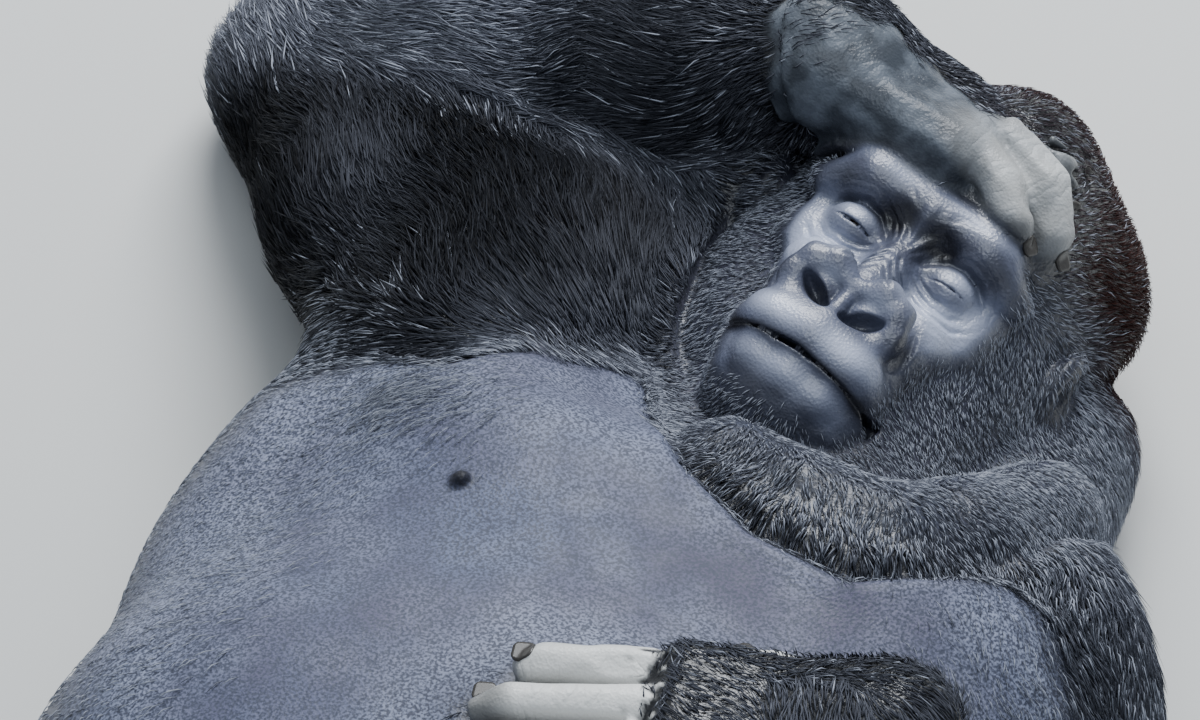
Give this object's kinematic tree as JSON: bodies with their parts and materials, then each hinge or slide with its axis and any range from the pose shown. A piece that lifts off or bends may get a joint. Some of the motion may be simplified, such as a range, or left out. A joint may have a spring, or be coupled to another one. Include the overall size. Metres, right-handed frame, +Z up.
{
  "type": "male gorilla lying on its back",
  "caption": "Life-size still model of an adult male gorilla asleep on its back, one arm folded over its head and the other hand resting on its belly.",
  "frame": {"origin": "centre of the bounding box in X and Y, on the floor plane Z = 0", "axes": "+Z up, +Y from the feet to the crown of the head, +X toward the gorilla's left; the animal lies on its back"},
  "size_m": [0.982, 1.7584, 0.4224],
  "materials": {
    "skin": "bare grey-black skin, softly shining",
    "fur": "dense black coat with grizzled tips",
    "eye": "wet dark brown"
  },
  "bodies": {
    "root": {"head": "skin", "right_eye": "eye", "right_ear": "skin", "left_eye": "eye", "left_ear": "skin", "neck": "fur", "chest": "skin", "belly": "fur", "pelvis": "fur", "right_upper_arm": "fur", "right_forearm": "fur", "left_upper_arm": "fur", "left_forearm": "fur", "right_hand": "skin", "right_little_finger": "skin", "right_ring_finger": "skin", "right_middle_finger": "skin", "right_index_finger": "skin", "right_thumb": "skin", "left_hand": "skin", "left_index_finger": "skin", "left_middle_finger": "skin", "left_ring_finger": "skin", "left_little_finger": "skin", "left_thumb": "skin", "right_thigh": "fur", "right_lower_leg": "fur", "right_foot": "skin", "right_big_toe": "skin", "right_second_toe": "skin", "right_third_toe": "skin", "right_fourth_toe": "skin", "right_fifth_toe": "skin", "left_thigh": "fur", "left_lower_leg": "fur", "left_foot": "skin", "left_big_toe": "skin", "left_second_toe": "skin", "left_third_toe": "skin", "left_fourth_toe": "skin", "left_fifth_toe": "skin"}
  },
  "joints": []
}
